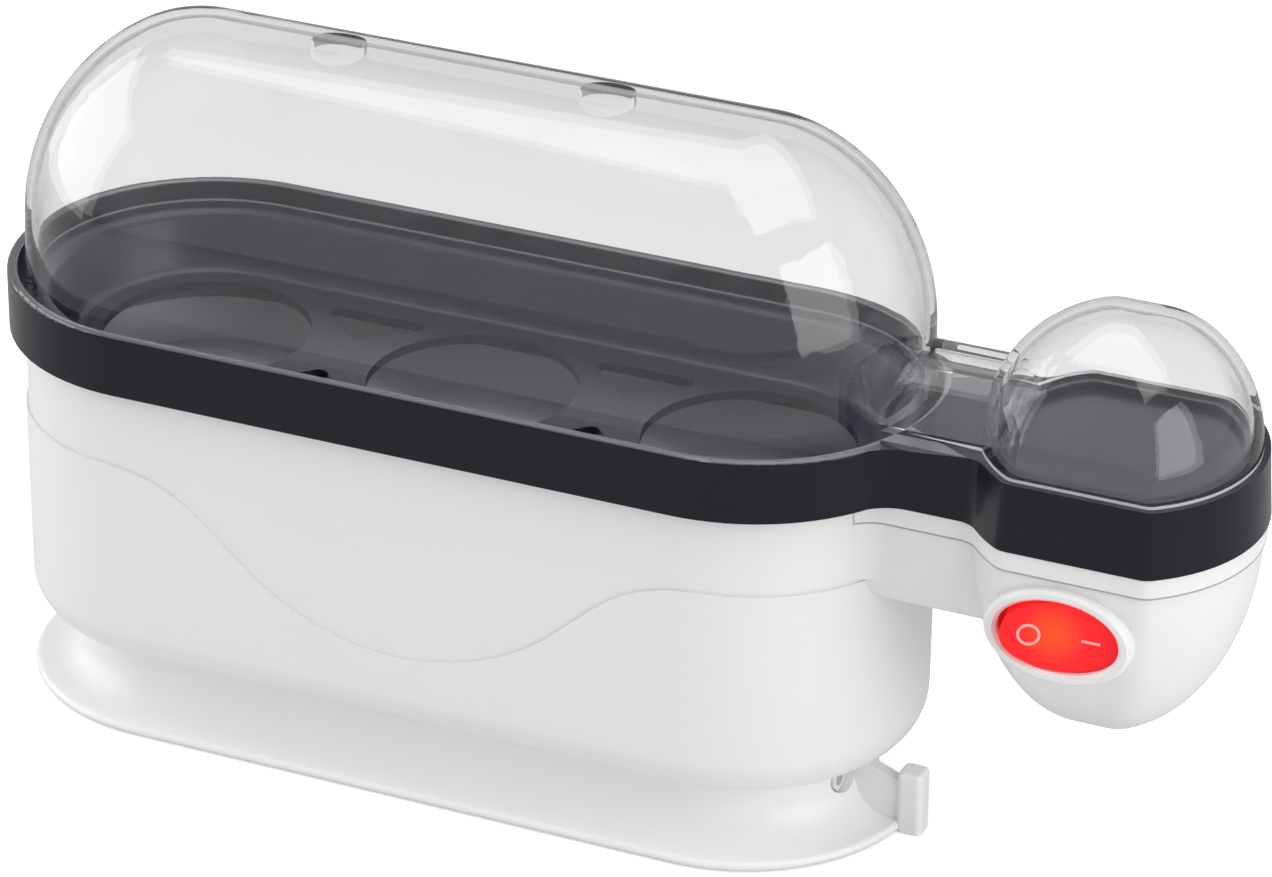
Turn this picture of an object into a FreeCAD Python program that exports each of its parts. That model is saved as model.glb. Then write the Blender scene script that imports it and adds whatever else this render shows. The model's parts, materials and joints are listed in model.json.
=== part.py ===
import FreeCAD, Part
import math
import os
import Sketcher

# An egg cooker for three eggs: a white housing with a hollow side handle, a black egg tray that
# lifts out by its own handle, and a clear lid that stands on the tray. Millimetres. The foot
# stands on Z = 0, X runs along the row of eggs towards the handle and Y points to the back.

SIZES = [
    ("egg_pitch", 56.0),
    ("egg_hole_radius", 20.1),
    ("rim_reach", 3.0),
    ("rim_bottom", 74.1),
    ("rim_top", 86.3),
    ("rim_lip", 2.1),
    ("rim_edge", 0.8),
    ("skirt_wall", 1.7),
    ("ledge_top", 82.3),
    ("ledge_thick", 2.3),
    ("ledge_reach", 6.1),
    ("basin_lean", 24.0),
    ("basin_shoulder", 2.6),
    ("basin_fillet", 2.5),
    ("basin_floor", 71.5),
    ("basin_wall", 1.8),
    ("rib_wide", 12.0),
    ("rib_outer", 18.3),
    ("rib_tip", 6.2),
    ("rib_round", 1.5),
    ("grip_centre", 127.25),
    ("grip_half", 25.4),
    ("grip_reach", 27.25),
    ("grip_end", 30.5),
    ("grip_corner", 4.5),
    ("grip_draft", 4.0),
    ("grip_top", 87.0),
    ("neck_half", 18.0),
    ("neck_fillet", 5.0),
    ("neck_sweep", 9.0),
    ("deck_drop", 1.4),
    ("deck_thick", 2.0),
    ("lid_gap", 3.8),
    ("lid_flare", 0.6),
    ("lid_spring", 96.0),
    ("lid_top", 136.0),
    ("lid_crown", 25.0),
    ("lid_wall", 2.3),
    ("lid_neck_half", 14.6),
    ("lid_neck_top", 98.0),
    ("lid_grip_inset", 1.6),
    ("lid_grip_top", 112.5),
    ("vent_offset", 27.0),
    ("vent_radius", 5.2),
    ("wall_radius", 34.5),
    ("panel_step", 0.5),
    ("housing_wall", 2.3),
    ("housing_bottom", 14.0),
    ("housing_round", 8.5),
    ("wave_crest", 57.8),
    ("wave_trough", 30.4),
    ("wave_slope", 42.0),
    ("wave_low_radius", 48.0),
    ("wave_high_radius", 30.0),
    ("cover_tall", 4.1),
    ("arm_half", 17.5),
    ("arm_bottom", 52.5),
    ("arm_round", 6.0),
    ("arm_fillet", 8.0),
    ("lobe_inset", 0.95),
    ("lobe_depth", 39.6),
    ("waist_radius", 25.8),
    ("waist_wall", 2.4),
    ("waist_fillet", 7.6),
    ("foot_radius", 35.3),
    ("foot_edge", 1.9),
    ("hook_outer", 94.9),
    ("hook_long", 5.0),
    ("hook_wide", 5.2),
    ("hook_middle", -4.6),
    ("hook_tall", 12.6),
    ("hook_round", 1.2),
    ("bowl_gap", 3.6),
    ("bowl_sheet", 1.0),
    ("bowl_floor", 55.0),
    ("bowl_ledge", 62.0),
    ("seal_thick", 1.2),
    ("tube_radius", 3.3),
    ("tube_loop", 15.5),
    ("switch_x", 125.5),
    ("switch_z", 59.4),
    ("switch_proud", 0.15),
    ("bezel_long", 13.8),
    ("bezel_short", 9.25),
    ("bezel_thick", 1.8),
    ("rocker_long", 10.75),
    ("rocker_short", 6.8),
    ("rocker_gap", 0.35),
    ("rocker_swing", 0.35),
    ("rocker_tilt", 9.0),
    ("pin_radius", 1.5),
    ("screw_radius", 1.5),
    ("screw_head", 2.8),
    ("lead_radius", 1.1),
    ("bush_bore", 1.9),
]

ALIASES = {pair[0]: number for number, pair in enumerate(SIZES)}

# Sizes that follow from the ones above, so that neighbouring pieces keep their clearance.
DERIVED = {
    "rim_radius": "(wall_radius + rim_reach)",
    "ledge_inner": "(wall_radius + rim_reach - ledge_reach)",
    "lid_radius": "(wall_radius + rim_reach - lid_gap)",
    "bowl_radius": "(wall_radius - housing_wall - bowl_gap)",
    "seam_height": "(rim_bottom - cover_tall)",
    "switch_face": "(grip_half - lobe_inset + switch_proud)",
}

doc = FreeCAD.newDocument("egg_cooker")
sheet = doc.addObject("Spreadsheet::Sheet", "sizes")
for row, (alias, number) in enumerate(SIZES, start=1):
    sheet.set("A%d" % row, alias)
    sheet.set("B%d" % row, str(number))
    sheet.setAlias("B%d" % row, alias)
doc.recompute()


def spell(text):
    for word, meaning in DERIVED.items():
        text = text.replace(word, meaning)
    return text


def size(text):
    return float(sheet.evalExpression(spell(text)))


def wire(text):
    words = spell(text)
    for alias in sorted((pair[0] for pair in SIZES), key=len, reverse=True):
        words = words.replace(alias, "@%d@" % ALIASES[alias])
    for alias, number in ALIASES.items():
        words = words.replace("@%d@" % number, "sizes." + alias)
    return words


def minus(text):
    return "-(%s)" % text


def new_body(label):
    body = doc.addObject("PartDesign::Body", label)
    body.Label = label
    body.AllowCompound = True
    return body


def origin_plane(body, role):
    return [item for item in body.Origin.OriginFeatures if item.Role == role][0]


def new_sketch(body, name, role="XY_Plane", lift="0", shift="0"):
    sketch = body.newObject("Sketcher::SketchObject", name)
    sketch.AttachmentSupport = [(origin_plane(body, role), "")]
    sketch.MapMode = "FlatFace"
    sketch.setExpression("AttachmentOffset.Base.z", wire(lift))
    sketch.setExpression("AttachmentOffset.Base.x", wire(shift))
    return sketch


def hold(sketch, geometry, point, across, along):
    for kind, text, axis in (("DistanceX", across, -2), ("DistanceY", along, -1)):
        if text is None:
            continue
        number = size(text)
        if abs(number) < 1e-9:
            sketch.addConstraint(Sketcher.Constraint("PointOnObject", geometry, point, axis))
            continue
        if number > 0:
            index = sketch.addConstraint(Sketcher.Constraint(kind, -1, 1, geometry, point, number))
            sketch.setExpression("Constraints[%d]" % index, wire(text))
        else:
            index = sketch.addConstraint(Sketcher.Constraint(kind, geometry, point, -1, 1, -number))
            sketch.setExpression("Constraints[%d]" % index, wire(minus(text)))


def draw(sketch, path, closed=True):
    count = sketch.GeometryCount
    corners = [FreeCAD.Vector(size(step[0]), size(step[1]), 0) for step in path]
    ends = []
    total = len(path) if closed else len(path) - 1
    for number in range(total):
        start = corners[number]
        stop = corners[(number + 1) % len(path)]
        step = path[number]
        if len(step) == 2:
            sketch.addGeometry(Part.LineSegment(start, stop))
            ends.append((1, 2))
            continue
        middle = (start + stop) * 0.5
        run = stop - start
        if step[2] == "cx":
            across = size(step[3])
            along = middle.y + (middle.x - across) * run.x / run.y
        else:
            along = size(step[3])
            across = middle.x + (middle.y - along) * run.y / run.x
        centre = FreeCAD.Vector(across, along, 0)
        first = start - centre
        last = stop - centre
        left = first.x * last.y - first.y * last.x > 0
        if len(step) == 5:
            left = step[4] == "left"
        circle = Part.Circle(centre, FreeCAD.Vector(0, 0, 1), first.Length)
        angles = [math.atan2(first.y, first.x), math.atan2(last.y, last.x)]
        if not left:
            angles.reverse()
        if angles[1] <= angles[0]:
            angles[1] += 2 * math.pi
        sketch.addGeometry(Part.ArcOfCircle(circle, angles[0], angles[1]))
        ends.append((1, 2) if left else (2, 1))
    for number in range(total):
        following = (number + 1) % total
        if closed or following:
            sketch.addConstraint(Sketcher.Constraint(
                "Coincident", count + number, ends[number][1], count + following, ends[following][0]))
        step = path[number]
        hold(sketch, count + number, ends[number][0], step[0], step[1])
        if len(step) > 2 and step[2] == "cx":
            hold(sketch, count + number, 3, step[3], None)
        if len(step) > 2 and step[2] == "cy":
            hold(sketch, count + number, 3, None, step[3])
    if not closed:
        hold(sketch, count + total - 1, ends[-1][1], path[-1][0], path[-1][1])


def disc(sketch, across, along, radius):
    centre = FreeCAD.Vector(size(across), size(along), 0)
    index = sketch.addGeometry(Part.Circle(centre, FreeCAD.Vector(0, 0, 1), size(radius)))
    hold(sketch, index, 3, across, along)
    mark = sketch.addConstraint(Sketcher.Constraint("Radius", index, size(radius)))
    sketch.setExpression("Constraints[%d]" % mark, wire(radius))


def oval(sketch, across, along, long_half, short_half):
    centre = FreeCAD.Vector(size(across), size(along), 0)
    big = FreeCAD.Vector(size(long_half), 0, 0)
    small = FreeCAD.Vector(0, size(short_half), 0)
    index = sketch.addGeometry(Part.Ellipse(centre + big, centre + small, centre))
    sketch.exposeInternalGeometry(index)
    hold(sketch, index, 3, across, along)
    sketch.addConstraint(Sketcher.Constraint("Horizontal", index + 1))
    for line, text in ((index + 1, long_half), (index + 2, short_half)):
        mark = sketch.addConstraint(Sketcher.Constraint("Distance", line, 2 * size(text)))
        sketch.setExpression("Constraints[%d]" % mark, wire("2 * (%s)" % text))


def stadium(sketch, radius, reach="egg_pitch"):
    draw(sketch, [
        (minus(reach), minus(radius)),
        (reach, minus(radius), "cx", reach, "left"),
        (reach, radius),
        (minus(reach), radius, "cx", minus(reach), "left"),
    ])


def box(sketch, left, right, low, high):
    draw(sketch, [(left, low), (right, low), (right, high), (left, high)])


def barrel(sketch, half, reach, end, corner, middle="grip_centre"):
    inner = "sqrt((%s - (%s))^2 - (%s - (%s))^2)" % (end, corner, half, corner)
    bow = "(%s) - (%s)" % (end, reach)
    touch = "(%s) / (%s - (%s))" % (end, end, corner)
    path = []
    for side, rise in ((1, 1), (-1, 1), (-1, -1), (1, -1)):
        centre = "%s - %d * (%s)" % (middle, side, bow)
        corner_x = "%s + %d * %s" % (centre, side, inner)
        corner_y = "%d * (%s - (%s))" % (rise, half, corner)
        edge = (corner_x, "%d * (%s)" % (rise, half))
        tip = ("%s + %d * %s * %s" % (centre, side, inner, touch), "%s * %s" % (corner_y, touch))
        if side * rise > 0:
            path.append(tip + ("cx", corner_x))
            path.append(edge)
        else:
            path.append(edge + ("cx", corner_x))
            path.append(tip + ("cx", centre))
    draw(sketch, path)


def pad(body, name, sketch, length, middle=False, back=False, draft=None):
    doc.recompute()
    feature = body.newObject("PartDesign::Pad", name)
    feature.Profile = sketch
    feature.setExpression("Length", wire(length))
    feature.Midplane = middle
    feature.Reversed = back
    if draft:
        feature.setExpression("TaperAngle", wire(draft))
    doc.recompute()
    return feature


def pocket(body, name, sketch, length, middle=False, back=False):
    doc.recompute()
    before = body.Tip.Shape.Volume
    feature = body.newObject("PartDesign::Pocket", name)
    feature.Profile = sketch
    feature.setExpression("Length", wire(length))
    feature.Midplane = middle
    feature.Reversed = back
    doc.recompute()
    if feature.Shape.Volume >= before:
        raise ValueError("no material taken by " + name)
    return feature


def sweep(body, name, profile, spine):
    doc.recompute()
    feature = body.newObject("PartDesign::AdditivePipe", name)
    feature.Profile = profile
    feature.Spine = (spine, [])
    doc.recompute()
    return feature


def turn(body, name, sketch, kind="PartDesign::Revolution"):
    doc.recompute()
    feature = body.newObject(kind, name)
    feature.Profile = sketch
    feature.ReferenceAxis = (sketch, ["V_Axis"])
    feature.Angle = 180
    feature.Midplane = True
    doc.recompute()
    return feature


def loft(body, name, sketches, kind="PartDesign::AdditiveLoft"):
    doc.recompute()
    feature = body.newObject(kind, name)
    feature.Profile = sketches[0]
    feature.Sections = sketches[1:]
    doc.recompute()
    return feature


def soften(body, name, radius, wanted, kind="Fillet"):
    base = body.Tip
    names = []
    for number, edge in enumerate(base.Shape.Edges, start=1):
        if wanted(edge.BoundBox, edge):
            names.append("Edge%d" % number)
    feature = body.newObject("PartDesign::" + kind, name)
    feature.Base = (base, names)
    feature.setExpression("Radius" if kind == "Fillet" else "Size", wire(radius))
    doc.recompute()
    return feature


def ring_spine(body, name, radius):
    spine = new_sketch(body, name)
    draw(spine, [
        ("0", minus(radius)),
        ("egg_pitch", minus(radius), "cx", "egg_pitch", "left"),
        ("egg_pitch", radius),
        ("-egg_pitch", radius, "cx", "-egg_pitch", "left"),
        ("-egg_pitch", minus(radius)),
    ])
    return spine


def ring(body, name, radius, path):
    spine = ring_spine(body, name + "_path", radius)
    profile = new_sketch(body, name + "_profile", "YZ_Plane")
    draw(profile, path)
    return sweep(body, name, profile, spine)


def level(box_, height, slack=0.01):
    return abs(box_.ZMin - height) < slack and abs(box_.ZMax - height) < slack


def upright(box_):
    return box_.XLength < 0.01 and box_.YLength < 0.01


def grip_block(body, name, lift, length, inset, back=False, cut=False, draft=None):
    outline = new_sketch(body, name + "_outline", lift=lift)
    barrel(outline, "(grip_half - %s)" % inset, "(grip_reach - %s)" % inset,
           "(grip_end - %s)" % inset, "(grip_corner - %s * 0.4)" % inset)
    if cut:
        return pocket(body, name, outline, length, back=back)
    return pad(body, name, outline, length, back=back, draft=draft)


def egg_sections(body, name, lift, depth, inset, shares):
    sketches = []
    for number, share in enumerate(shares):
        scale = "sqrt(1 - %.3f^2)" % share
        outline = new_sketch(body, "%s_%d" % (name, number), lift="%s + (%s) * %.3f" % (lift, depth, share))
        barrel(outline, "(grip_half - (%s)) * %s" % (inset, scale),
               "(grip_reach - (%s)) * %s" % (inset, scale),
               "(grip_end - (%s)) * %s" % (inset, scale),
               "(grip_corner - (%s) * 0.4) * (1 + 2.4 * %.3f) * %s" % (inset, share, scale))
        sketches.append(outline)
    return sketches


def sweep_corner(body, name, lift, length, ring_radius, half, radius):
    out = "sqrt((%s + %s)^2 - (%s + %s)^2)" % (ring_radius, radius, half, radius)
    share = "(%s - 0.15) / (%s + %s)" % (ring_radius, ring_radius, radius)
    outline = new_sketch(body, name + "_outline", lift=lift)
    for side in (-1, 1):
        draw(outline, [
            ("egg_pitch + " + out, "%d * (%s)" % (side, half)),
            ("egg_pitch + sqrt((%s - 0.4)^2 - (%s)^2)" % (ring_radius, half), "%d * (%s)" % (side, half)),
            ("egg_pitch + %s * %s" % (out, share), "%d * (%s + %s) * %s" % (side, half, radius, share),
             "cx", "egg_pitch + " + out),
        ])
    pad(body, name, outline, length)


def neck_corner(half):
    middle = size("grip_centre")
    reach = size("grip_reach")

    def wanted(box_, edge):
        inside = middle - reach < box_.Center.x < middle - reach / 2
        beside = abs(abs(box_.Center.y) - size(half)) < 0.3
        return inside and beside and box_.YLength < 0.1 and box_.ZLength > 2
    return wanted


# Egg tray: a handle with a hollow underside, then the swept rim with its skirt, the ledge the
# lid stands on and the leaning wall of the basin, then the floor with its openings.
WALL_TOP_R = "(ledge_inner - basin_shoulder * cos(basin_lean))"
WALL_TOP_Z = "(ledge_top - basin_shoulder * (1 - sin(basin_lean)))"
WALL_LOW_Z = "(basin_floor + basin_fillet * (1 - sin(basin_lean)))"
WALL_LOW_R = "(%s - (%s - %s) * tan(basin_lean))" % (WALL_TOP_R, WALL_TOP_Z, WALL_LOW_Z)
FLOOR_R = "(%s - basin_fillet * cos(basin_lean))" % WALL_LOW_R
UNDER_Z = "(ledge_top - ledge_thick)"
UNDER_R = "(%s - (%s - %s) * tan(basin_lean) + basin_wall / cos(basin_lean))" % (
    WALL_TOP_R, WALL_TOP_Z, UNDER_Z)
THICK = "(basin_fillet + basin_wall)"

tray = new_body("egg_tray")
grip_block(tray, "tray_grip", "rim_bottom", "grip_top - rim_bottom", "0", draft="-grip_draft")
outline = new_sketch(tray, "tray_neck_outline", lift="rim_bottom")
box(outline, "egg_pitch + rim_radius - 8", "grip_centre - 14", "-neck_half", "neck_half")
pad(tray, "tray_neck", outline, "grip_top - rim_bottom")
sweep_corner(tray, "tray_corner", "rim_bottom", "rim_top - rim_bottom - 0.4", "rim_radius", "neck_half",
             "neck_sweep")
soften(tray, "tray_neck_fillet", "neck_fillet", neck_corner("neck_half"))
grip_block(tray, "tray_grip_hollow", "rim_bottom", "grip_top - deck_drop - deck_thick - rim_bottom", "2.6",
           back=True, cut=True)
outline = new_sketch(tray, "tray_neck_hollow_outline", lift="rim_bottom")
box(outline, "egg_pitch + rim_radius - 2", "grip_centre - 16", "-(neck_half - 2)", "neck_half - 2")
pocket(tray, "tray_neck_hollow", outline, "grip_top - deck_drop - deck_thick - rim_bottom", back=True)
grip_block(tray, "tray_grip_recess", "grip_top", "deck_drop", "5.4", cut=True)
outline = new_sketch(tray, "tray_clear_outline", lift="grip_top + 1")
disc(outline, "egg_pitch", "0", "rim_radius - 0.6")
pocket(tray, "tray_clear", outline, "grip_top - rim_bottom + 2")
ring(tray, "tray_rim", "rim_radius", [
    ("-rim_radius", "rim_bottom"),
    ("-rim_radius", "rim_top - rim_edge", "cx", "-(rim_radius - rim_edge)"),
    ("-(rim_radius - rim_edge)", "rim_top"),
    ("-(rim_radius - rim_lip + rim_edge)", "rim_top", "cx", "-(rim_radius - rim_lip + rim_edge)"),
    ("-(rim_radius - rim_lip)", "rim_top - rim_edge"),
    ("-(rim_radius - rim_lip)", "ledge_top"),
    ("-ledge_inner", "ledge_top", "cx", "-ledge_inner"),
    (minus(WALL_TOP_R), WALL_TOP_Z),
    (minus(WALL_LOW_R), WALL_LOW_Z, "cx", minus(FLOOR_R)),
    (minus(FLOOR_R), "basin_floor"),
    (minus(FLOOR_R + " - 1.5"), "basin_floor"),
    (minus(FLOOR_R + " - 1.5"), "basin_floor - basin_wall"),
    (minus(FLOOR_R), "basin_floor - basin_wall", "cx", minus(FLOOR_R)),
    (minus("%s + %s * cos(basin_lean)" % (FLOOR_R, THICK)),
     "basin_floor + basin_fillet - %s * sin(basin_lean)" % THICK),
    (minus(UNDER_R), UNDER_Z),
    ("-(rim_radius - skirt_wall)", UNDER_Z),
    ("-(rim_radius - skirt_wall)", "rim_bottom"),
])
outline = new_sketch(tray, "tray_floor_outline", lift="basin_floor - basin_wall")
stadium(outline, "%s - 0.6" % FLOOR_R)
pad(tray, "tray_floor", outline, "basin_wall")
outline = new_sketch(tray, "tray_openings_outline", lift="basin_floor + 1")
for place in ("-egg_pitch", "0", "egg_pitch"):
    disc(outline, place, "0", "egg_hole_radius")
for place in ("-egg_pitch / 2", "egg_pitch / 2"):
    for side in (1, -1):
        draw(outline, [
            ("%s - rib_wide" % place, "%d * rib_outer" % side),
            ("%s + rib_wide" % place, "%d * rib_outer" % side),
            (place, "%d * rib_tip" % side),
        ])
pocket(tray, "tray_openings", outline, "basin_wall + 2")


def opening_corner(box_, edge):
    return upright(box_) and abs(box_.ZLength - size("basin_wall")) < 0.05


soften(tray, "tray_openings_round", "rib_round", opening_corner)

# Lid: a long dome over the eggs and an egg-shaped dome over the handle, joined by a low saddle.
DROP = "(lid_top - lid_crown - lid_spring)"
SIDE = "((lid_radius^2 + %s^2 - lid_crown^2) / (2 * (lid_radius - lid_crown)))" % DROP
SIDE_X = "(%s - lid_radius)" % SIDE
SPAN = "(%s - lid_crown)" % SIDE


def dome_half(inset, low):
    touch_y = "((lid_crown - %s) * %s / %s)" % (inset, SIDE_X, SPAN)
    touch_z = "(lid_top - lid_crown + (lid_crown - %s) * %s / %s)" % (inset, DROP, SPAN)
    return [
        ("lid_radius + lid_flare - %s" % inset, low),
        ("lid_radius - %s" % inset, "lid_spring", "cx", minus(SIDE_X)),
        (touch_y, touch_z),
    ]


def dome_arch(sketch, inset, low):
    right = dome_half(inset, low)
    left = [(minus(step[0]), step[1]) for step in reversed(right)]
    path = right[:2] + [right[2] + ("cy", "lid_top - lid_crown")]
    path += [left[0] + ("cx", SIDE_X), left[1], left[2]]
    draw(sketch, path)


def dome_end(sketch, inset, low, side):
    foot, spring, touch = dome_half(inset, low)
    out = "%d * (%%s)" % side
    draw(sketch, [
        (out % foot[0], low),
        (out % spring[0], spring[1], "cx", out % spring[3]),
        (out % touch[0], touch[1], "cx", "0"),
        ("0", "lid_top - %s" % inset),
        ("0", low),
    ])


def saddle(sketch, inset):
    half = "(lid_neck_half - %s)" % inset
    rise = "(lid_neck_top - %s - grip_top)" % inset
    draw(sketch, [
        (minus(half), "grip_top"),
        (half, "grip_top", "cy", "lid_neck_top - %s - (%s^2 + %s^2) / (2 * %s)" % (inset, half, rise, rise)),
    ])


lid = new_body("lid")
outline = new_sketch(lid, "lid_arch", "YZ_Plane")
dome_arch(outline, "0", "ledge_top")
pad(lid, "lid_long", outline, "2 * egg_pitch", middle=True)
for name, side in (("lid_near", 1), ("lid_far", -1)):
    outline = new_sketch(lid, name + "_half", "XZ_Plane", shift="%d * egg_pitch" % side)
    dome_end(outline, "0", "ledge_top", side)
    turn(lid, name, outline)
outline = new_sketch(lid, "lid_neck_arch", "YZ_Plane", lift="egg_pitch + lid_radius - 8")
saddle(outline, "0")
pad(lid, "lid_neck", outline, "grip_centre - egg_pitch - lid_radius - 4")
DOME_SHARES = (0.0, 0.3, 0.55, 0.75, 0.88, 0.955, 0.99)
LID_INSET = "lid_grip_inset + 0.5"
loft(lid, "lid_grip", egg_sections(lid, "lid_grip_section", "grip_top", "lid_grip_top - grip_top", LID_INSET,
                                   DOME_SHARES))
outline = new_sketch(lid, "lid_arch_inside", "YZ_Plane")
dome_arch(outline, "lid_wall", "ledge_top")
pocket(lid, "lid_long_inside", outline, "2 * egg_pitch", middle=True)
for name, side in (("lid_near_inside", 1), ("lid_far_inside", -1)):
    outline = new_sketch(lid, name + "_half", "XZ_Plane", shift="%d * egg_pitch" % side)
    dome_end(outline, "lid_wall", "ledge_top", side)
    turn(lid, name, outline, "PartDesign::Groove")
outline = new_sketch(lid, "lid_neck_inside_arch", "YZ_Plane", lift="grip_centre - 15")
saddle(outline, "lid_wall")
pocket(lid, "lid_neck_inside", outline, "grip_centre - 15 - egg_pitch - lid_radius + 5")
loft(lid, "lid_grip_inside",
     egg_sections(lid, "lid_grip_inner", "grip_top", "lid_grip_top - lid_wall - grip_top",
                  LID_INSET + " + lid_wall", DOME_SHARES), "PartDesign::SubtractiveLoft")
outline = new_sketch(lid, "lid_vents_outline", lift="lid_top + 2")
for place in ("-vent_offset", "vent_offset"):
    disc(outline, place, "0", "vent_radius")
pocket(lid, "lid_vents", outline, "lid_wall + 5")

# Housing: the long shell with its raised wavy panel, the arm and the hollow egg-shaped lobe.
HOUSING_TOP = "(ledge_top - ledge_thick)"
FLOOR_TOP = "(housing_bottom + housing_wall)"
LOW_X = "(wave_low_radius * sin(wave_slope))"
LOW_Z = "(wave_trough + wave_low_radius * (1 - cos(wave_slope)))"
HIGH_Z = "(wave_crest - wave_high_radius * (1 - cos(wave_slope)))"
HIGH_X = "(%s + (%s - %s) / tan(wave_slope))" % (LOW_X, HIGH_Z, LOW_Z)
CREST_X = "(%s + wave_high_radius * sin(wave_slope))" % HIGH_X
FAR = "(egg_pitch + wall_radius + 20)"
LOBE_SHARES = (0.0, 0.25, 0.48, 0.68, 0.83, 0.93, 0.982, 0.998)
POSTS = [(sign_x, sign_y) for sign_x in ("-", "") for sign_y in ("-", "")]
POST_X = "38"
POST_Y = "13"

housing = new_body("housing")
outline = new_sketch(housing, "wave_outline", "XZ_Plane")
draw(outline, [
    (minus(FAR), "housing_bottom"),
    (minus(FAR), "wave_crest"),
    (minus(CREST_X), "wave_crest", "cx", minus(CREST_X)),
    (minus(HIGH_X), HIGH_Z),
    (minus(LOW_X), LOW_Z, "cy", "wave_trough + wave_low_radius"),
    (LOW_X, LOW_Z),
    (HIGH_X, HIGH_Z, "cx", CREST_X),
    (CREST_X, "wave_crest"),
    (FAR, "wave_crest"),
    (FAR, "housing_bottom"),
])
pad(housing, "wave", outline, "4 * wall_radius", middle=True)
outline = new_sketch(housing, "panel_outline", lift="wave_crest + 1")
box(outline, minus(FAR) + " - 20", FAR + " + 20", "-3 * wall_radius", "3 * wall_radius")
stadium(outline, "wall_radius + panel_step")
pocket(housing, "panel", outline, "wave_crest")
outline = new_sketch(housing, "shell_outline", lift="housing_bottom")
stadium(outline, "wall_radius")
pad(housing, "shell", outline, HOUSING_TOP + " - housing_bottom")
soften(housing, "shell_round", "housing_round", lambda box_, edge: level(box_, size("housing_bottom")))
outline = new_sketch(housing, "arm_outline", "YZ_Plane", lift="egg_pitch + wall_radius - 12")
draw(outline, [
    ("-arm_half", "seam_height"),
    ("-arm_half", "arm_bottom + arm_round", "cx", "-(arm_half - arm_round)"),
    ("-(arm_half - arm_round)", "arm_bottom"),
    ("arm_half - arm_round", "arm_bottom", "cx", "arm_half - arm_round"),
    ("arm_half", "arm_bottom + arm_round"),
    ("arm_half", "seam_height"),
])
pad(housing, "arm", outline, "grip_centre - egg_pitch - wall_radius - 1")
sweep_corner(housing, "arm_corner", "arm_bottom + arm_round", "seam_height - arm_bottom - arm_round",
             "wall_radius", "arm_half", "arm_fillet")
loft(housing, "lobe",
     egg_sections(housing, "lobe_section", "seam_height", "-lobe_depth", "lobe_inset", LOBE_SHARES))
outline = new_sketch(housing, "switch_pad_outline", "XZ_Plane", lift="switch_face - 9")
oval(outline, "switch_x", "switch_z", "bezel_long", "bezel_short")
pad(housing, "switch_pad", outline, "9")
outline = new_sketch(housing, "shell_inside_outline", lift=HOUSING_TOP)
stadium(outline, "wall_radius - housing_wall")
pocket(housing, "shell_inside", outline, "%s - %s" % (HOUSING_TOP, FLOOR_TOP))


def inner_floor_edge(box_, edge):
    return level(box_, size(FLOOR_TOP))


soften(housing, "shell_inside_round", "housing_round - housing_wall", inner_floor_edge)
ring(housing, "bowl_ledge_ring", "wall_radius", [
    ("-(wall_radius - housing_wall + 0.4)", "bowl_ledge - 2"),
    ("-(wall_radius - housing_wall + 0.4)", "bowl_ledge"),
    ("-(bowl_radius + bowl_sheet + 0.3)", "bowl_ledge"),
    ("-(bowl_radius + bowl_sheet + 0.3)", "bowl_ledge - 2"),
])
loft(housing, "lobe_inside",
     egg_sections(housing, "lobe_inner", "seam_height", "-(lobe_depth - housing_wall)",
                  "lobe_inset + housing_wall", LOBE_SHARES), "PartDesign::SubtractiveLoft")
outline = new_sketch(housing, "arm_inside_outline", lift="seam_height")
box(outline, "egg_pitch + wall_radius + 1", "grip_centre - 17", "-(arm_half - housing_wall)",
    "arm_half - housing_wall")
pocket(housing, "arm_inside", outline, "seam_height - arm_bottom - housing_wall")
outline = new_sketch(housing, "lead_way_outline", "YZ_Plane", lift="egg_pitch + wall_radius + 2")
disc(outline, "0", "arm_bottom + 4.6", "3.1")
pocket(housing, "lead_way", outline, "7")
outline = new_sketch(housing, "switch_opening_outline", "XZ_Plane", lift="switch_face")
oval(outline, "switch_x", "switch_z", "rocker_long + rocker_gap + rocker_swing + 1.15",
     "rocker_short + rocker_gap + 1.15")
pocket(housing, "switch_opening", outline, "12")
outline = new_sketch(housing, "cover_posts_outline", lift="seam_height")
for side in ("-", "+"):
    disc(outline, "grip_centre %s 14" % side, "6", "screw_radius + 2")
pad(housing, "cover_posts", outline, "lobe_depth * 0.635", back=True)
outline = new_sketch(housing, "cover_pilot_outline", lift="seam_height")
for side in ("-", "+"):
    disc(outline, "grip_centre %s 14" % side, "6", "screw_radius - 0.1")
pocket(housing, "cover_pilots", outline, "14")
outline = new_sketch(housing, "foot_posts_outline", lift="housing_bottom + 1")
for sign_x, sign_y in POSTS:
    disc(outline, sign_x + POST_X, sign_y + POST_Y, "screw_radius + 2")
pad(housing, "foot_posts", outline, "14")
outline = new_sketch(housing, "foot_pilot_outline", lift="housing_bottom")
for sign_x, sign_y in POSTS:
    disc(outline, sign_x + POST_X, sign_y + POST_Y, "screw_radius - 0.1")
pocket(housing, "foot_pilots", outline, "13", back=True)
outline = new_sketch(housing, "floor_way_outline", lift=FLOOR_TOP)
box(outline, "56", "66", "-6", "6")
pocket(housing, "floor_way", outline, "housing_wall")

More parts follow.
